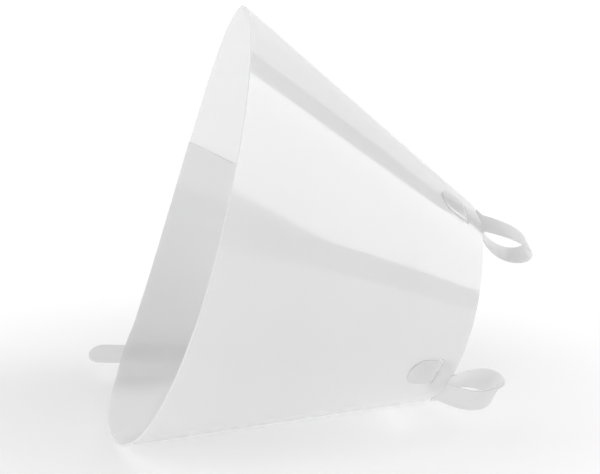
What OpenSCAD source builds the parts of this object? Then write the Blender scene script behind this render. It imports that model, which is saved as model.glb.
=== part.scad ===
// Protective cone for a small animal's neck: one springy plastic sheet rolled
// into a cone that overlaps itself, locked by a strip woven through slots, with
// strap tabs looped back at the neck edge. It lies on its side on a floor (z = 0),
// wide end towards -X, neck towards +X.

/* [Cone] */
// Distance along the sheet from the cone's point to the neck edge
neck_s = 137; // [130:1:145]
// Depth of the cone along the sheet, neck edge to wide rim
depth = 150; // [145:1:160]
// Mean half angle of the rolled cone, degrees
half_angle = 24.5; // [24:0.1:25]
// How far the cone squashes under its own weight: half angle lost at top and bottom and gained at the sides, degrees
squash = 2.1; // [1.8:0.1:2.4]
// How much more the top bulges than the underside, degrees
egg = 0.5; // [0.3:0.1:0.7]
// Small four-sided waviness of the section, degrees
four = 0.1; // [0:0.05:0.2]
// Rise of the cone's axis towards the wide end as it lies, degrees
tilt = 18.3; // [18.1:0.1:18.5]

/* [Sheet] */
// Thickness of the plastic sheet
sheet_t = 0.8; // [0.7:0.05:0.9]
// Angle round the cone, from straight down, of the inside free edge, degrees
inner_edge = 103; // [95:1:110]
// Angle round the cone, from straight down, of the outside free edge, degrees
outer_edge = 24; // [22:1:26]
// Gap between the two layers where they overlap
layer_gap = 0.3; // [0.25:0.05:0.35]

/* [Locking strip] */
// Width of the strip
strip_w = 15; // [13:0.5:16]
// Angle round the cone of the strip's middle, degrees
strip_at = 40; // [39:0.5:42]
// How far the strip's round end stands past the wide rim
strip_past = 20; // [15:1:24]
// Distance from the neck edge to the strip's hidden end
strip_start = 5; // [3:1:8]
// Room between strip and sheet
strip_room = 0.35; // [0.3:0.05:0.4]

/* [Neck loops] */
// Width of the strap tabs
tab_w = 15; // [13:0.5:16]
// Length of each tongue end outside its slot
tongue = 16; // [14:1:18]
// Distance from the neck edge to each tongue's slot
tongue_slot = 11.5; // [11:0.5:13]

/* [Hidden] */
$fn = 32;

rim_s = neck_s + depth;
white = [0.93, 0.94, 0.95];
loop_n = 28;
// angles round the cone of each loop's root and of its tongue's tip
top_at = -151.7;   top_tip = -147;
front_at = -54.5;  front_tip = -70;
under_at = 18;     under_tip = 10;
// how far the hidden loop's root sits in, on the inner layer of the overlap
under_in = 1.08;

// --- the cone's shape: a rolled flat sheet, so every line to its point is straight
function theta(p) = half_angle - squash * cos(2 * p) - egg * cos(3 * p) - four * cos(4 * p);
// unit line from the point towards the wide rim at angle p (0 down, 90 towards +Y, 180 up)
function raw(p) = let (t = theta(p)) [-cos(t), sin(t) * sin(p), -sin(t) * cos(p)];
function lean(v) = [v[0] * cos(tilt) + v[2] * sin(tilt), v[1], -v[0] * sin(tilt) + v[2] * cos(tilt)];
function dir(p) = lean(raw(p));
function unit(v) = v / norm(v);
// direction round the cone, towards growing p, and the outward normal
function along(p) = unit(dir(p + 0.5) - dir(p - 0.5));
function out(p) = unit(cross(dir(p), along(p)));

turn = 360 + inner_edge - outer_edge;
drop = sheet_t + layer_gap;

// --- where the cone's point sits, so that the whole thing stands on z = 0 about x = y = 0
low_z = min([for (u = [0 : 1 : turn]) (dir(inner_edge - u) * rim_s + out(inner_edge - u) * layer(u))[2]]);
strip_tip_x = (dir(strip_at) * (rim_s + strip_past))[0];
reach_x = max(concat([for (q = loop_mid(top_at, 0.6, 53, 26.7, 34, -28.5, 3)) q[0]],
              [for (q = loop_mid(front_at, 1, 37.7, 35.5, 45.3, -10.5, -7)) q[0]]));
apex = [-(strip_tip_x + reach_x) / 2, 0, -low_z];

// a point on or off the cone: s along the sheet from the point, p round it, n outwards
function at(s, p, n = 0) = apex + dir(p) * s + out(p) * n;
// degrees round the cone that w millimetres make at s
function deg(w, s, p) = w / (norm(dir(p + 0.5) - dir(p - 0.5)) * s);
// smooth step from 0 to 1
function ease(x) = let (c = min(1, max(0, x))) c * c * (3 - 2 * c);

// --- the rolled sheet: u runs from the inside free edge, down and round, to the outside one
// outward offset of the sheet's outer face, stepping in under the overlap
function layer(u) = let (p = inner_edge - u) -drop * (1 - ease((outer_edge - 4 - p) / 80));
// slots of the locking strip, as distances from the neck edge
strip_slots = [14, 40, 66, 92];
// +1 where the sheet passes outside the strip, -1 where it passes inside
function side(s) = let (k = len([for (q = strip_slots) if (s > neck_s + q) 1])) (k % 2 == 0) ? -1 : 1;
bow = sheet_t * 1.5 + layer_gap / 2 + strip_room;
slot_half = strip_w / 2 + 4.5;
// the bow of both layers over or under the strip at x millimetres to its side
function bowed(s, p) = let (x = abs(p - strip_at) / deg(1, s, strip_at))
    side(s) * (bow + (side(s) > 0 ? flat(s) : 0)) * ease((slot_half - 0.5 - x) / 3.6);
// how far the cone curves away from the flat strip at the strip's edge
function flat(s) = pow(strip_w / 2, 2) / 2 * deg(1, s, strip_at) * PI / 180;

function wrap(a) = a > 180 ? wrap(a - 360) : a <= -180 ? wrap(a + 360) : a;
function sheet_pt(u, s, n) = let (p = inner_edge - u, q = wrap(p))
    at(s, p, layer(u) + n + (q > strip_at - 20 && q < strip_at + 20 ? bowed(s, q) : 0));

function near_strip(u) = let (q = wrap(inner_edge - u)) abs(q - strip_at) < 13;
sheet_u = [for (k = [0 : 1 : floor(turn)]) if (k % 5 == 0 || near_strip(k)) k, if (floor(turn) % 5 != 0 && !near_strip(floor(turn))) turn];
sheet_s = concat([neck_s], [for (q = strip_slots) each [neck_s + q - 0.4, neck_s + q + 0.4]], [rim_s]);

// closed solid between two matching grids of points, a outside and b inside
module skin(a, b) {
    ni = len(a); nj = len(a[0]); m = ni * nj;
    pts = concat([for (r = a) each r], [for (r = b) each r]);
    function id(i, j) = i * nj + j;
    faces = concat(
        [for (i = [0 : ni - 2], j = [0 : nj - 2]) each [
            [id(i, j), id(i + 1, j), id(i + 1, j + 1)], [id(i, j), id(i + 1, j + 1), id(i, j + 1)],
            [m + id(i, j), m + id(i + 1, j + 1), m + id(i + 1, j)], [m + id(i, j), m + id(i, j + 1), m + id(i + 1, j + 1)]]],
        [for (i = [0 : ni - 2]) each [
            [id(i, 0), m + id(i, 0), m + id(i + 1, 0)], [id(i, 0), m + id(i + 1, 0), id(i + 1, 0)],
            [id(i, nj - 1), id(i + 1, nj - 1), m + id(i + 1, nj - 1)], [id(i, nj - 1), m + id(i + 1, nj - 1), m + id(i, nj - 1)]]],
        [for (j = [0 : nj - 2]) each [
            [id(0, j), id(0, j + 1), m + id(0, j + 1)], [id(0, j), m + id(0, j + 1), m + id(0, j)],
            [id(ni - 1, j), m + id(ni - 1, j), m + id(ni - 1, j + 1)], [id(ni - 1, j), m + id(ni - 1, j + 1), id(ni - 1, j + 1)]]]);
    polyhedron(points = pts, faces = faces, convexity = 8);
}

// places a child whose X runs along the sheet towards the wide rim, Y round it and Z outwards
module on_cone(s, p) {
    x = dir(p); z = out(p); y = cross(z, x); o = at(s, p);
    multmatrix([[x[0], y[0], z[0], o[0]], [x[1], y[1], z[1], o[1]], [x[2], y[2], z[2], o[2]], [0, 0, 0, 1]]) children();
}

// a slot cut through both layers, round-ended, running round the cone
module slot(s, p, half, w, deep = 8) {
    on_cone(s, p) translate([0, 0, -deep]) linear_extrude(deep * 2) {
        translate([-w / 2, -half + w / 2]) square([w, 2 * half - w]);
        for (k = [-1, 1]) translate([0, k * (half - w / 2)]) circle(w / 2, $fn = 24);
    }
}

// --- neck loops: a tab that leaves the neck edge, bows out, turns back and ends just inside the edge
// each point is [distance past the neck edge, distance outwards] on a Bezier curve
function bez(p0, p1, p2, p3, u) = pow(1 - u, 3) * p0 + 3 * pow(1 - u, 2) * u * p1 + 3 * (1 - u) * u * u * p2 + pow(u, 3) * p3;
function loop_uv(a, l1, t1, l2, t2) = let (p0 = [a, -sheet_t / 2], p3 = [a, -sheet_t * 1.5 - 0.3])
    [for (k = [0 : loop_n]) bez(p0, p0 + l1 * [cos(t1), sin(t1)], p3 + l2 * [cos(t2), sin(t2)], p3, k / loop_n)];
function loop_mid(p, a, l1, t1, l2, t2, skew, belly = 0, low = 0) = let (c = loop_uv(a, l1, t1, l2, t2))
    [for (k = [0 : loop_n]) dir(p) * (neck_s - c[k][0]) + out(p) * (c[k][1] - low)
        + along(p) * (skew * k / loop_n + belly * pow(sin(180 * k / loop_n), 2))];

// a strap of width w and thickness t along mid points, its width turned by twist at the far end
module strap(mid, p, w, t, twist) {
    n = len(mid) - 1;
    function tan_at(k) = unit(mid[min(n, k + 1)] - mid[max(0, k - 1)]);
    function wide(k) = let (e = twist * pow(sin(180 * k / n), 0.7), v = along(p) * cos(e) + out(p) * sin(e), g = tan_at(k))
        unit(v - g * (v * g));
    function nrm(k) = cross(wide(k), tan_at(k));
    a = [for (k = [0 : n]) [for (j = [-1, 0, 1]) apex + mid[k] + wide(k) * j * w / 2 + nrm(k) * t / 2]];
    b = [for (k = [0 : n]) [for (j = [-1, 0, 1]) apex + mid[k] + wide(k) * j * w / 2 - nrm(k) * t / 2]];
    skin(a, b);
}

// the fixed end of a tab: inside the neck, out through its slot, round tip outside
module tongue_end(p, p_tip, lay_in, lay_out) {
    t = sheet_t; c = 0.25;
    s0 = neck_s + 0.8; s1 = neck_s + tongue_slot - 2; s2 = neck_s + tongue_slot + 2; s3 = s2 + tongue - 2;
    hi = lay_out + c + t / 2; lo = lay_in - c - t / 2;
    rows = concat(
        [for (k = [0 : 3]) [s0 + (s1 - s0) * k / 3, lo]],
        [for (k = [1 : 9]) [s1 + (s2 - s1) * k / 10, lo + (hi - lo) * ease(k / 10)]],
        [for (k = [0 : 5]) [s2 + (s3 - tab_w / 2 - s2) * k / 5, hi]],
        [for (k = [1 : 9]) [s3 - tab_w / 2 + tab_w / 2 * sin(10 * k), hi]]);
    function half(s) = s < s3 - tab_w / 2 ? tab_w / 2 : sqrt(max(0.3, pow(tab_w / 2, 2) - pow(s - s3 + tab_w / 2, 2)));
    function turn_to(s) = p + (p_tip - p) * ease((s - s0) / (s1 - s0 + 1));
    function pt(r, j, e) = at(r[0], turn_to(r[0]) + j * deg(half(r[0]), r[0], p), r[1] + e);
    // thickness is measured square to the strap where it climbs through the slot
    function thick(k) = let (d = rows[min(len(rows) - 1, k + 1)] - rows[max(0, k - 1)]) t / 2 * norm(d) / max(0.001, abs(d[0]));
    a = [for (k = [0 : len(rows) - 1]) [for (j = [-1 : 0.5 : 1]) pt(rows[k], j, min(thick(k), t * 0.8))]];
    b = [for (k = [0 : len(rows) - 1]) [for (j = [-1 : 0.5 : 1]) pt(rows[k], j, -min(thick(k), t * 0.8))]];
    skin(b, a);
}

module cone_sheet() {
    color(white) difference() {
        skin([for (u = sheet_u) [for (s = sheet_s) sheet_pt(u, s, -sheet_t)]],
             [for (u = sheet_u) [for (s = sheet_s) sheet_pt(u, s, 0)]]);
        for (q = strip_slots) slot(neck_s + q, strip_at, slot_half, 2.4);
        slot(neck_s + tongue_slot, top_tip, tab_w / 2 + 1, 4.6);
        slot(neck_s + tongue_slot, front_tip, tab_w / 2 + 1, 4.6);
        slot(neck_s + tongue_slot, under_tip, tab_w / 2 + 1, 4.6);
    }
}

module locking_strip() {
    len_s = rim_s + strip_past - (neck_s + strip_start);
    mid = -(sheet_t * 2 + layer_gap) / 2;
    color(white) on_cone(neck_s + strip_start, strip_at) translate([0, 0, mid - sheet_t / 2]) linear_extrude(sheet_t) {
        translate([4, -strip_w / 2]) square([len_s - 4 - strip_w / 2, strip_w]);
        translate([0, -strip_w / 2 + 4]) square([8, strip_w - 8]);
        for (k = [-1, 1]) translate([4, k * (strip_w / 2 - 4)]) circle(4);
        translate([len_s - strip_w / 2, 0]) circle(strip_w / 2);
    }
}

module neck_loop_top() { color(white) strap(loop_mid(top_at, 0.6, 53, 26.7, 34, -28.5, 3), top_at, tab_w, sheet_t, 6); }
module neck_loop_front() { color(white) strap(loop_mid(front_at, 1, 37.7, 35.5, 45.3, -10.5, -7), front_at, tab_w, sheet_t, 15.5); }
module neck_loop_under() { color(white) strap(loop_mid(under_at, 1, 42, 43.25, 38, -10, -4, 12, under_in), under_at, tab_w, sheet_t, 5.6); }
module tongue_end_top() { color(white) tongue_end(top_at + 3, top_tip, -sheet_t, 0); }
module tongue_end_front() { color(white) tongue_end(front_at - 7, front_tip, -sheet_t, 0); }
module tongue_end_under() { color(white) tongue_end(under_at - 4, under_tip, -sheet_t * 2 - layer_gap, -1); }

cone_sheet();
locking_strip();
neck_loop_top();
neck_loop_front();
neck_loop_under();
tongue_end_top();
tongue_end_front();
tongue_end_under();
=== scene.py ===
import math

import bmesh
import bpy
import numpy as np
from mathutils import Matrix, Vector


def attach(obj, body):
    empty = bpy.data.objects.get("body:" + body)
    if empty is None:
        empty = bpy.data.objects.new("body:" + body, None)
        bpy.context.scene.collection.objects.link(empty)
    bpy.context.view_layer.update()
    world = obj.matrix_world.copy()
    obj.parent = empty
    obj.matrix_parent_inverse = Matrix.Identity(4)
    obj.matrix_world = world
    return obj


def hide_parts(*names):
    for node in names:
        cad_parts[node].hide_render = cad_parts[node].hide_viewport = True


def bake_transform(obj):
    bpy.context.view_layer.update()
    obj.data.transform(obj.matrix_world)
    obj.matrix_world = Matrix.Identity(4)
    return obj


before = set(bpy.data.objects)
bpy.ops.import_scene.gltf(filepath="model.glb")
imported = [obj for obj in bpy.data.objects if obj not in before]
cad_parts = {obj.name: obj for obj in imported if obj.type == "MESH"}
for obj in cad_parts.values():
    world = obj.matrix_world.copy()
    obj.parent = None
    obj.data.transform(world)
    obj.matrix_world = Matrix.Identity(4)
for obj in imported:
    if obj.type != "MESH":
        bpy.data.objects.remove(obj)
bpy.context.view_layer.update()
MM = 0.001
rad = math.radians

# ---------------------------------------------------------------- the cone's shape, as the CAD has it
HALF, SQUASH, EGG, FOUR, TILT = 24.5, 2.1, 0.5, 0.1, 18.3
NECK, RIM = 137.0, 287.0
T, GAP = 0.8, 0.3
IN_EDGE, OUT_EDGE = 103.0, 24.0
TURN = 360 + IN_EDGE - OUT_EDGE
STRIP_AT, STRIP_W, STRIP_PAST, STRIP_START, ROOM = 40.0, 15.0, 20.0, 5.0, 0.35
SLOTS = (14.0, 40.0, 66.0, 92.0)
BOW = T * 1.5 + GAP / 2 + ROOM
SLOT_HALF = STRIP_W / 2 + 4.5
TAB_W, TONGUE, TSLOT = 15.0, 16.0, 11.5
LOOPS = {
    "top": dict(at=-151.7, tip=-147.0, cur=(0.6, 53, 26.7, 34, -28.5, 3, 0, 0), twist=6.0, swap=3.0, under=-T, over=0.0),
    "front": dict(at=-54.5, tip=-70.0, cur=(1.0, 37.7, 35.5, 45.3, -10.5, -7, 0, 0), twist=15.5, swap=-7.0, under=-T,
                  over=0.0),
    "under": dict(at=18.0, tip=10.0, cur=(1.0, 42, 43.25, 38, -10, -4, 12, 1.08), twist=5.6, swap=-4.0,
                  under=-2 * T - GAP, over=-1.0),
}


def theta(p):
    return HALF - SQUASH * math.cos(rad(2 * p)) - EGG * math.cos(rad(3 * p)) - FOUR * math.cos(rad(4 * p))


def lean(v):
    c, s = math.cos(rad(TILT)), math.sin(rad(TILT))
    return np.array([v[0] * c + v[2] * s, v[1], -v[0] * s + v[2] * c])


def dr(p):
    t = rad(theta(p))
    return lean([-math.cos(t), math.sin(t) * math.sin(rad(p)), -math.sin(t) * math.cos(rad(p))])


def unit(v):
    return v / np.linalg.norm(v)


def along(p):
    return unit(dr(p + 0.5) - dr(p - 0.5))


def out(p):
    return unit(np.cross(dr(p), along(p)))


def ease(x):
    c = min(1.0, max(0.0, x))
    return c * c * (3 - 2 * c)


def layer(u):
    return -(T + GAP) * (1 - ease((OUT_EDGE - 4 - (IN_EDGE - u)) / 80))


def deg(w, s, p):
    return w / (np.linalg.norm(dr(p + 0.5) - dr(p - 0.5)) * s)


def bez(p0, p1, p2, p3, u):
    return (1 - u) ** 3 * p0 + 3 * (1 - u) ** 2 * u * p1 + 3 * (1 - u) * u * u * p2 + u ** 3 * p3


def loop_uv(n, a, l1, t1, l2, t2):
    p0 = np.array([a, -T / 2])
    p3 = np.array([a, -T * 1.5 - 0.3])
    p1 = p0 + l1 * np.array([math.cos(rad(t1)), math.sin(rad(t1))])
    p2 = p3 + l2 * np.array([math.cos(rad(t2)), math.sin(rad(t2))])
    return [bez(p0, p1, p2, p3, k / n) for k in range(n + 1)]


def loop_mid(at, cur, n=28):
    a, l1, t1, l2, t2, skew, belly, low = cur
    return [dr(at) * (NECK - c[0]) + out(at) * (c[1] - low)
            + along(at) * (skew * k / n + belly * math.sin(math.pi * k / n) ** 2)
            for k, c in enumerate(loop_uv(n, a, l1, t1, l2, t2))]


_low = min((dr(IN_EDGE - u) * RIM + out(IN_EDGE - u) * layer(u))[2] for u in range(0, int(TURN) + 1))
_tip = (dr(STRIP_AT) * (RIM + STRIP_PAST))[0]
_reach = max(q[0] for k in ("top", "front") for q in loop_mid(LOOPS[k]["at"], LOOPS[k]["cur"]))
APEX = np.array([-(_tip + _reach) / 2, 0.0, -_low])


def at(s, p, n=0.0):
    return APEX + dr(p) * s + out(p) * n


def wrap(a):
    return (a + 180.0) % 360.0 - 180.0


def side(s):
    return -1 if sum(1 for q in SLOTS if s > NECK + q) % 2 == 0 else 1


def bowed(s, q):
    """The sheet's dent or swell over the locking strip: short beside a slot, wide and soft between slots."""
    x = abs(q - STRIP_AT) / deg(1, s, STRIP_AT)
    near = min(abs(s - NECK - k) for k in SLOTS)
    end = SLOT_HALF - 0.5 + 13.0 * ease((near - 1.5) / 12.0)
    g = side(s)
    flat = (STRIP_W / 2) ** 2 / 2 * deg(1, s, STRIP_AT) * math.pi / 180
    return g * (BOW + (flat if g > 0 else 0.0)) * ease((end - x) / (end - (SLOT_HALF - 4.1)))


# ---------------------------------------------------------------- mesh helpers
def new_mesh(name, verts, faces, smooth=True):
    me = bpy.data.meshes.new(name)
    me.from_pydata([tuple(float(c) * MM for c in v) for v in verts], [], faces)
    me.validate()
    me.update()
    ob = bpy.data.objects.new(name, me)
    bpy.context.scene.collection.objects.link(ob)
    bm = bmesh.new()
    bm.from_mesh(me)
    bmesh.ops.remove_doubles(bm, verts=bm.verts, dist=1e-7)
    bmesh.ops.recalc_face_normals(bm, faces=bm.faces)
    bm.to_mesh(me)
    bm.free()
    for p in me.polygons:
        p.use_smooth = smooth
    return ob


def apply_all(ob):
    bpy.context.view_layer.update()
    dg = bpy.context.evaluated_depsgraph_get()
    me = bpy.data.meshes.new_from_object(ob.evaluated_get(dg), preserve_all_data_layers=True, depsgraph=dg)
    ob.modifiers.clear()
    ob.data = me


def smooth_by_angle(ob, angle=40):
    me = ob.data
    for p in me.polygons:
        p.use_smooth = True
    bm = bmesh.new()
    bm.from_mesh(me)
    for e in bm.edges:
        if len(e.link_faces) == 2:
            e.smooth = e.calc_face_angle(0) < rad(angle)
    bm.to_mesh(me)
    bm.free()


def shell(name, grid_out, grid_in, keep=None, round_mm=0.12, closed_ring=False):
    """A thin closed sheet between two grids, its free edges rounded. keep(i, j) says which cells stay."""
    ni, nj = len(grid_out), len(grid_out[0])
    m = ni * nj
    verts = [p for r in grid_out for p in r] + [p for r in grid_in for p in r]
    cell = [[(keep is None or keep(i, j)) for j in range(nj - 1)] for i in range(ni - 1)]
    faces = []

    def idx(i, j):
        return i * nj + j

    def has(i, j):
        return 0 <= i < ni - 1 and 0 <= j < nj - 1 and cell[i][j]

    for i in range(ni - 1):
        for j in range(nj - 1):
            if not cell[i][j]:
                continue
            a, b, c, d = idx(i, j), idx(i + 1, j), idx(i + 1, j + 1), idx(i, j + 1)
            faces.append((a, b, c, d))
            faces.append((m + d, m + c, m + b, m + a))
            for (p, q, ni_, nj_) in ((a, b, i, j - 1), (b, c, i + 1, j), (c, d, i, j + 1), (d, a, i - 1, j)):
                if not has(ni_, nj_):
                    faces.append((q, p, m + p, m + q))
    ob = new_mesh(name, verts, faces)
    if round_mm:
        # round the free edges
        bm = bmesh.new()
        bm.from_mesh(ob.data)
        for e in bm.edges:
            if len(e.link_faces) == 2 and e.calc_face_angle(0) > rad(60):
                e.select = True
        lay = bm.edges.layers.float.get("bevel_weight_edge") or bm.edges.layers.float.new("bevel_weight_edge")
        for e in bm.edges:
            e[lay] = 1.0 if (len(e.link_faces) == 2 and e.calc_face_angle(0) > rad(60)) else 0.0
        bm.to_mesh(ob.data)
        bm.free()
        md = ob.modifiers.new("edge", "BEVEL")
        md.limit_method = "WEIGHT"
        md.width = round_mm * MM
        md.segments = 2
        md.use_clamp_overlap = True
        apply_all(ob)
    return ob


# ---------------------------------------------------------------- the rolled sheet
def pucker(s, q):
    """Small waves that the folded-back tabs and the slots put into the springy sheet, in millimetres."""
    d = 0.0
    for k, amp in (("top", 0.8), ("front", 0.8), ("under", 0.5)):
        L = LOOPS[k]
        dx = wrap(q - L["tip"]) / deg(1, s, L["tip"])
        ds = s - (NECK + 8)
        d += amp * math.exp(-(dx / 11.0) ** 2 - (ds / 11.0) ** 2)
        dx2 = wrap(q - L["at"]) / deg(1, s, L["at"])
        d += 0.25 * math.exp(-(dx2 / 9.0) ** 2) * math.exp(-((s - NECK) / 6.0) ** 2)
    # long shallow waves along the slant, as a springy sheet has
    d += 0.10 * math.sin(rad(3.1 * q + 40)) * math.sin((s - NECK) / 150 * math.pi * 1.3 + 0.4)
    d += 0.05 * math.sin(rad(7.3 * q + 10)) * math.sin((s - NECK) / 150 * math.pi * 2.2 + 1.1)
    return d


def sheet_point(u, s, n):
    p = IN_EDGE - u
    q = wrap(p)
    b = bowed(s, q) if abs(q - STRIP_AT) < 30 else 0.0
    return at(s, p, layer(u) + n + b + pucker(s, q) * PUCK)


PUCK = 1.0
us = []
u = 0.0
while u < TURN - 1e-6:
    us.append(u)
    q = wrap(IN_EDGE - u)
    u += 0.5 if abs(q - STRIP_AT) < 20 else 1.0
us.append(TURN)
ss = [NECK]
marks = sorted([NECK + q - 1.2 for q in SLOTS] + [NECK + q - 0.4 for q in SLOTS] + [NECK + q + 0.4 for q in SLOTS] + [NECK + q + 1.2 for q in SLOTS] + [RIM])
for mk in marks:
    step = mk - ss[-1]
    k = max(1, int(round(step / 2.5)))
    for i in range(1, k + 1):
        ss.append(ss[-1] + (mk - ss[-1]) / (k - i + 1))


def keep_sheet(i, j):
    return True


sheet = shell("sheet", [[sheet_point(a, s, 0.0) for s in ss] for a in us],
              [[sheet_point(a, s, -T) for s in ss] for a in us], keep=None, round_mm=0.0)


def stadium_cutter(name, s, p, half, w, deep=6.0):
    x, z = dr(p), out(p)
    y = np.cross(z, x)
    o = at(s, p)
    prof = []
    for k in range(13):
        a = math.pi * k / 12
        prof.append((w / 2 * math.cos(a), (half - w / 2) + w / 2 * math.sin(a)))
    for k in range(13):
        a = math.pi + math.pi * k / 12
        prof.append((w / 2 * math.cos(a), -(half - w / 2) + w / 2 * math.sin(a)))
    n = len(prof)
    verts = [o + x * a + y * b - z * deep for a, b in prof] + [o + x * a + y * b + z * deep for a, b in prof]
    faces = [tuple(range(n))[::-1], tuple(range(n, 2 * n))] + [(i, (i + 1) % n, n + (i + 1) % n, n + i) for i in range(n)]
    return new_mesh(name, verts, faces, smooth=False)


cutters = [stadium_cutter("cut_%d" % i, NECK + q, STRIP_AT, SLOT_HALF, 2.4) for i, q in enumerate(SLOTS)]
cutters += [stadium_cutter("cutt_" + k, NECK + TSLOT, L["tip"], TAB_W / 2 + 0.6, 3.4) for k, L in LOOPS.items()]
for c in cutters:
    md = sheet.modifiers.new("cut", "BOOLEAN")
    md.operation = "DIFFERENCE"
    md.solver = "EXACT"
    md.object = c
apply_all(sheet)
for c in cutters:
    bpy.data.objects.remove(c, do_unlink=True)
smooth_by_angle(sheet, 35)


# ---------------------------------------------------------------- straps
def strap_grid(mid, wides, w_of, nrm, t):
    cols = [-1, -0.97, -0.9, -0.5, 0, 0.5, 0.9, 0.97, 1]
    a, b = [], []
    for k in range(len(mid)):
        w = w_of(k) / 2
        ra, rb = [], []
        for j in cols:
            edge = max(0.0, (abs(j) - 0.9) / 0.1)
            th = t / 2 * (math.sqrt(max(0.0, 1 - 0.55 * edge * edge)))
            ra.append(mid[k] + wides[k] * j * w + nrm[k] * th)
            rb.append(mid[k] + wides[k] * j * w - nrm[k] * th)
        a.append(ra)
        b.append(rb)
    return a, b


def loop_piece(key, n=64):
    L = LOOPS[key]
    skew, low = L["cur"][5], L["cur"][7]
    mid = loop_mid(L["at"], L["cur"], n)
    # run both ends back to the neck edge itself, so no gap shows at the flex line
    mid[0] = dr(L["at"]) * (NECK + 0.15) + out(L["at"]) * (-T / 2 - low)
    mid[-1] = dr(L["at"]) * (NECK + 0.4) + out(L["at"]) * (-T * 1.5 - 0.3 - low) + along(L["at"]) * skew
    mid = [APEX + m for m in mid]
    wides, nrm = [], []
    for k in range(n + 1):
        g = unit(mid[min(n, k + 1)] - mid[max(0, k - 1)])
        e = rad(L["twist"] * math.sin(math.pi * k / n) ** 0.7)
        v = along(L["at"]) * math.cos(e) + out(L["at"]) * math.sin(e)
        wd = unit(v - g * float(v @ g))
        wides.append(wd)
        nrm.append(np.cross(wd, g))

    def w_of(k):
        arc = sum(np.linalg.norm(mid[i + 1] - mid[i]) for i in range(k)) if k < 12 else 99
        r = 3.2
        flare = 0.0
        if arc < r:
            flare = r - math.sqrt(max(0.0, r * r - (r - arc) ** 2))
        return TAB_W + 2 * flare
    ga, gb = strap_grid(mid, wides, w_of, nrm, T)
    ob = shell("strap_loop_" + key, ga, gb, round_mm=0.1)
    smooth_by_angle(ob, 50)
    return ob


def tongue_piece(key):
    L = LOOPS[key]
    t, c = T, 0.10
    p, ptip = L["at"] + L["swap"], L["tip"]
    s0, s1, s2 = NECK + 0.8, NECK + TSLOT - 2, NECK + TSLOT + 2
    s3 = s2 + TONGUE - 2
    hi, lo = L["over"] + c + t / 2, L["under"] - c - t / 2
    rows = [(s0 + (s1 - s0) * k / 6, lo) for k in range(7)]
    rows += [(s1 + (s2 - s1) * k / 20, lo + (hi - lo) * ease(k / 20)) for k in range(1, 20)]
    rows += [(s2 + (s3 - TAB_W / 2 - s2) * k / 8, hi) for k in range(9)]
    rows += [(s3 - TAB_W / 2 + TAB_W / 2 * math.sin(rad(5 * k)), hi) for k in range(1, 18)]
    mid, wides, nrm, halfs = [], [], [], []
    for s, h in rows:
        half = TAB_W / 2 if s < s3 - TAB_W / 2 else math.sqrt(max(0.3, (TAB_W / 2) ** 2 - (s - s3 + TAB_W / 2) ** 2))
        pp = p + (ptip - p) * ease((s - s0) / (s1 - s0 + 1))
        q = wrap(pp)
        mid.append(at(s, pp, h + pucker(s, q) * PUCK))
        wides.append(along(pp))
        halfs.append(half)
    n = len(mid) - 1
    for k in range(n + 1):
        g = unit(mid[min(n, k + 1)] - mid[max(0, k - 1)])
        wides[k] = unit(wides[k] - g * float(wides[k] @ g))
        nrm.append(np.cross(g, wides[k]))
    # the strap follows the cone's curve across its width
    cols = [-1, -0.97, -0.88, -0.5, 0, 0.5, 0.88, 0.97, 1]
    a, b = [], []
    for k in range(n + 1):
        ra, rb = [], []
        s, h = rows[k]
        r_here = 1 / max(1e-6, deg(1, s, ptip)) * 180 / math.pi
        for j in cols:
            x = j * halfs[k]
            sag = -x * x / (2 * r_here)
            edge = max(0.0, (abs(j) - 0.88) / 0.12)
            th = t / 2 * math.sqrt(max(0.0, 1 - 0.55 * edge * edge))
            c0 = mid[k] + wides[k] * x + out(ptip) * sag
            ra.append(c0 + nrm[k] * th)
            rb.append(c0 - nrm[k] * th)
        a.append(ra)
        b.append(rb)
    ob = shell("strap_tongue_" + key, a, b, round_mm=0.1)
    smooth_by_angle(ob, 50)
    return ob


def strip_piece():
    L0 = NECK + STRIP_START
    ln = RIM + STRIP_PAST - L0
    x, z = dr(STRIP_AT), out(STRIP_AT)
    y = np.cross(z, x)
    o = at(L0, STRIP_AT)
    mid_n = -(T * 2 + GAP) / 2
    xs = [0.0, 0.35, 1.0, 2.0, 3.0, 4.0]
    xs += [4 + (ln - STRIP_W / 2 - 4) * k / 60 for k in range(1, 61)]
    xs += [ln - STRIP_W / 2 + STRIP_W / 2 * math.sin(rad(5 * k)) for k in range(1, 18)] + [ln - 0.004]

    def half(v):
        if v < 4:
            return STRIP_W / 2 - 4 + math.sqrt(max(0.0, 16 - (4 - v) ** 2))
        if v > ln - STRIP_W / 2:
            return math.sqrt(max(0.02, (STRIP_W / 2) ** 2 - (v - ln + STRIP_W / 2) ** 2))
        return STRIP_W / 2
    cols = [-1, -0.97, -0.9, -0.5, 0, 0.5, 0.9, 0.97, 1]
    a, b = [], []
    for v in xs:
        ra, rb = [], []
        for j in cols:
            edge = max(0.0, (abs(j) - 0.9) / 0.1)
            th = T / 2 * math.sqrt(max(0.0, 1 - 0.55 * edge * edge))
            c0 = o + x * v + y * j * half(v) + z * mid_n
            ra.append(c0 + z * th)
            rb.append(c0 - z * th)
        a.append(ra)
        b.append(rb)
    ob = shell("lock_strap", a, b, round_mm=0.1)
    smooth_by_angle(ob, 50)
    return ob


loops = {k: loop_piece(k) for k in LOOPS}
tongues = {k: tongue_piece(k) for k in LOOPS}
strip = strip_piece()


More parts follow.
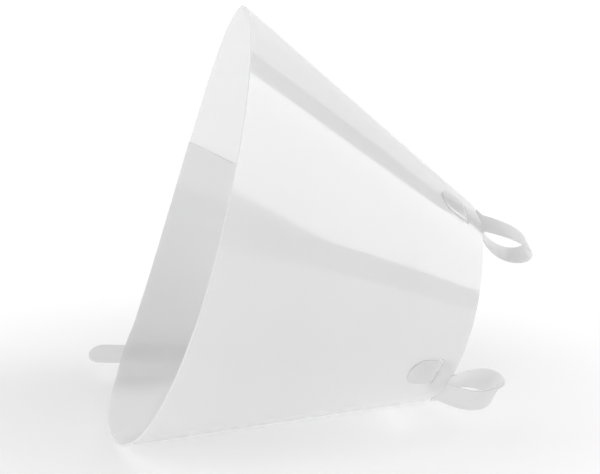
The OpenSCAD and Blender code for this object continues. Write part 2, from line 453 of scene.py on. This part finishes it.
# ---------------------------------------------------------------- materials
def plastic(name, grain=(1, 1, 1), see=0.10, seed=0.0):
    m = bpy.data.materials.new(name)
    m.use_nodes = True
    nt = m.node_tree
    nt.nodes.clear()
    N = nt.nodes.new
    lk = nt.links.new
    outp = N("ShaderNodeOutputMaterial")
    bs = N("ShaderNodeBsdfPrincipled")
    tr = N("ShaderNodeBsdfTranslucent")
    tp = N("ShaderNodeBsdfTransparent")
    mix1 = N("ShaderNodeMixShader")
    mix2 = N("ShaderNodeMixShader")
    tc = N("ShaderNodeTexCoord")
    # cloudy milkiness of the sheet
    n1 = N("ShaderNodeTexNoise")
    n1.inputs["Scale"].default_value = 9.0
    n1.inputs["Detail"].default_value = 3.0
    n1.inputs["Roughness"].default_value = 0.5
    lk(tc.outputs["Object"], n1.inputs["Vector"])
    cr = N("ShaderNodeValToRGB")
    cr.color_ramp.elements[0].position = 0.3
    cr.color_ramp.elements[0].color = (0.925, 0.926, 0.926, 1)
    cr.color_ramp.elements[1].position = 0.7
    cr.color_ramp.elements[1].color = (0.952, 0.952, 0.952, 1)
    lk(n1.outputs["Fac"], cr.inputs["Fac"])
    lk(cr.outputs["Color"], bs.inputs["Base Color"])
    lk(cr.outputs["Color"], tr.inputs["Color"])
    # faint rub marks: long thin scratches along one direction change the gloss
    mp = N("ShaderNodeMapping")
    mp.inputs["Scale"].default_value = (14.0, 260.0, 260.0)
    mp.inputs["Rotation"].default_value = (0.3, rad(18), 0.2)
    lk(tc.outputs["Object"], mp.inputs["Vector"])
    n2 = N("ShaderNodeTexNoise")
    n2.inputs["Scale"].default_value = 3.0
    n2.inputs["Detail"].default_value = 6.0
    lk(mp.outputs["Vector"], n2.inputs["Vector"])
    mr = N("ShaderNodeMapRange")
    mr.inputs["From Min"].default_value = 0.35
    mr.inputs["From Max"].default_value = 0.75
    mr.inputs["To Min"].default_value = 0.07
    mr.inputs["To Max"].default_value = 0.12
    lk(n2.outputs["Fac"], mr.inputs["Value"])
    lk(mr.outputs["Result"], bs.inputs["Roughness"])
    # soft rolling ripple of extruded sheet plus a very fine orange peel
    n3 = N("ShaderNodeTexNoise")
    n3.inputs["Scale"].default_value = 16.0
    n3.inputs["Detail"].default_value = 1.0
    lk(tc.outputs["Object"], n3.inputs["Vector"])
    n4 = N("ShaderNodeTexNoise")
    n4.inputs["Scale"].default_value = 900.0
    n4.inputs["Detail"].default_value = 2.0
    lk(tc.outputs["Object"], n4.inputs["Vector"])
    b1 = N("ShaderNodeBump")
    b1.inputs["Strength"].default_value = 0.2
    b1.inputs["Distance"].default_value = 0.0002
    lk(n3.outputs["Fac"], b1.inputs["Height"])
    b2 = N("ShaderNodeBump")
    b2.inputs["Strength"].default_value = 0.05
    b2.inputs["Distance"].default_value = 0.00004
    lk(n4.outputs["Fac"], b2.inputs["Height"])
    lk(b1.outputs["Normal"], b2.inputs["Normal"])
    lk(b2.outputs["Normal"], bs.inputs["Normal"])
    bs.inputs["IOR"].default_value = 1.85
    bs.inputs["Coat Weight"].default_value = 0.0
    mix1.inputs["Fac"].default_value = 0.48
    lk(bs.outputs[0], mix1.inputs[1])
    lk(tr.outputs[0], mix1.inputs[2])
    mix2.inputs["Fac"].default_value = see
    lk(mix1.outputs[0], mix2.inputs[1])
    lk(tp.outputs[0], mix2.inputs[2])
    lk(mix2.outputs[0], outp.inputs["Surface"])
    return m


mat_sheet = plastic("milky_sheet", see=0.17)
mat_strap = plastic("milky_strap", see=0.08)
for ob in [sheet]:
    ob.data.materials.clear()
    ob.data.materials.append(mat_sheet)
for ob in list(loops.values()) + list(tongues.values()) + [strip]:
    ob.data.materials.clear()
    ob.data.materials.append(mat_strap)

# ---------------------------------------------------------------- what moves with what
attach(sheet, "cone")
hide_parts("cone_sheet")
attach(strip, "strip")
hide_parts("locking_strip")
for k, L in LOOPS.items():
    low = L["cur"][7]
    o = (APEX + dr(L["at"]) * (NECK - 0.0) + out(L["at"]) * (-0.95 - low)) * MM
    e = (APEX + dr(L["at"]) * (NECK - 5.0) + out(L["at"]) * (-0.95 - low)) * MM
    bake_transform(loops[k])
    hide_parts("neck_loop_" + k)
    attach(tongues[k], "cone")
    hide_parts("tongue_end_" + k)


# ---------------------------------------------------------------- stage, light and camera
def emission(name, strength, color=(1, 1, 1)):
    m = bpy.data.materials.new(name)
    m.use_nodes = True
    nt = m.node_tree
    nt.nodes.clear()
    o = nt.nodes.new("ShaderNodeOutputMaterial")
    e = nt.nodes.new("ShaderNodeEmission")
    e.inputs["Strength"].default_value = strength
    e.inputs["Color"].default_value = (*color, 1)
    nt.links.new(e.outputs[0], o.inputs["Surface"])
    return m


def card(name, corners, strength, camera=False):
    me = bpy.data.meshes.new(name)
    me.from_pydata(corners, [], [(0, 1, 2, 3)])
    me.materials.append(emission(name + "_glow", strength))
    ob = bpy.data.objects.new(name, me)
    bpy.context.scene.collection.objects.link(ob)
    ob.visible_camera = camera
    ob.visible_diffuse = False
    ob.visible_shadow = False
    ob.visible_transmission = False
    ob.visible_volume_scatter = False
    return ob


def floor_mesh():
    # a pale floor that sweeps up into a wall behind; the paper carries painted glow that fades in away from the
    # cone, leaving a dimmer painted-shade pool around it
    ys = list(np.linspace(-1.6, 2.2, 40)) + [2.2 + 0.5 * math.sin(rad(a)) for a in range(5, 95, 5)] + [2.7]
    zs = [0.0] * 40 + [0.5 - 0.5 * math.cos(rad(a)) for a in range(5, 95, 5)] + [1.5]
    xs = np.linspace(-1.8, 1.8, 30)
    verts = [(float(x), float(y), float(z)) for y, z in zip(ys, zs) for x in xs]
    n = len(xs)
    faces = [(j * n + i, j * n + i + 1, (j + 1) * n + i + 1, (j + 1) * n + i) for j in range(len(ys) - 1) for i in range(n - 1)]
    me = bpy.data.meshes.new("floor")
    me.from_pydata(verts, [], faces)
    for p in me.polygons:
        p.use_smooth = True
    ob = bpy.data.objects.new("floor", me)
    bpy.context.scene.collection.objects.link(ob)
    m = bpy.data.materials.new("floor_paper_painted_glow")
    m.use_nodes = True
    nt = m.node_tree
    nt.nodes.clear()
    N, lk = nt.nodes.new, nt.links.new
    o = N("ShaderNodeOutputMaterial")
    d = N("ShaderNodeBsdfDiffuse")
    d.inputs["Color"].default_value = (0.93, 0.93, 0.93, 1)
    # painted glow: the floor emits light as if brightly lit, though it is no lamp
    e = N("ShaderNodeEmission")
    e.inputs["Strength"].default_value = 1.02
    mx = N("ShaderNodeMixShader")
    tc = N("ShaderNodeTexCoord")
    mp = N("ShaderNodeMapping")
    mp.inputs["Location"].default_value = (0.03, -0.04, 0)
    mp.inputs["Scale"].default_value = (1.0, 1.0, 0.0)
    # radial mask around the cone's spot: about 30 % painted glow at the centre, rising to full glow beyond 0.29 m,
    # so a painted shade pool surrounds the cone
    ln = N("ShaderNodeVectorMath")
    ln.operation = "LENGTH"
    mr = N("ShaderNodeMapRange")
    mr.interpolation_type = "SMOOTHSTEP"
    mr.inputs["From Min"].default_value = 0.03
    mr.inputs["From Max"].default_value = 0.29
    mr.inputs["To Min"].default_value = 0.30
    lk(tc.outputs["Object"], mp.inputs["Vector"])
    lk(mp.outputs[0], ln.inputs[0])
    lk(ln.outputs["Value"], mr.inputs["Value"])
    lk(mr.outputs[0], mx.inputs["Fac"])
    lk(d.outputs[0], mx.inputs[1])
    lk(e.outputs[0], mx.inputs[2])
    lk(mx.outputs[0], o.inputs["Surface"])
    me.materials.append(m)
    return ob


floor_mesh()
# a plain card that fills the open mouth with soft light
fill = card("fill_left", [(-1.5, -1.3, 0.15), (-1.5, 0.7, 0.15), (-1.5, 0.7, 1.6), (-1.5, -1.3, 1.6)], 2.4)
fill.visible_diffuse = True
fill.visible_glossy = False
# what the gloss sees: a large softbox far to the right, a dark gap beside it and dark ground below it
SOFT, GAPL, GROUND, FAR = 3.3, 0.05, 0.10, 1.0
softbox = card("softbox", [(3.9, -1.42, 0.52), (3.9, 2.36, 0.52), (3.9, 2.36, 4.4), (3.9, -1.42, 4.4)], SOFT)
softbox.visible_diffuse = True
card("fill_far", [(2.05, 2.05, 0.02), (0.55, 2.15, 0.02), (0.55, 2.15, 1.7), (2.05, 2.05, 1.7)], FAR)
card("flag_gap", [(3.9, 2.36, 0.3), (2.72, 2.72, 0.3), (2.72, 2.72, 4.4), (3.9, 2.36, 4.4)], GAPL)
card("flag_low", [(3.88, -2.2, 0.0), (3.88, 2.36, 0.0), (3.88, 2.36, 0.52), (3.88, -2.2, 0.52)], GROUND)
card("flag_ground", [(0.80, -0.9, 0.003), (3.88, -2.2, 0.003), (3.88, 2.36, 0.003), (0.80, 0.6, 0.003)], GROUND)

w = bpy.data.worlds.new("studio")
bpy.context.scene.world = w
w.use_nodes = True
w.node_tree.nodes["Background"].inputs["Color"].default_value = (1, 1, 1, 1)
w.node_tree.nodes["Background"].inputs["Strength"].default_value = 0.33

cam = bpy.data.cameras.new("camera")
cam.lens = 90.0
cam.sensor_width = 36.0
cam.clip_start = 0.01
cam.clip_end = 50
cam_ob = bpy.data.objects.new("camera", cam)
bpy.context.scene.collection.objects.link(cam_ob)
cam_ob.location = (-0.09926, -0.72881, 0.23238)
cam_ob.rotation_euler = (rad(90 - 10.8905), 0, rad(-7.5994))
bpy.context.scene.camera = cam_ob
bpy.context.scene.cycles.max_bounces = 24
bpy.context.scene.cycles.diffuse_bounces = 20
bpy.context.scene.cycles.transmission_bounces = 20
bpy.context.scene.view_settings.view_transform = "Standard"
bpy.context.scene.view_settings.look = "None"
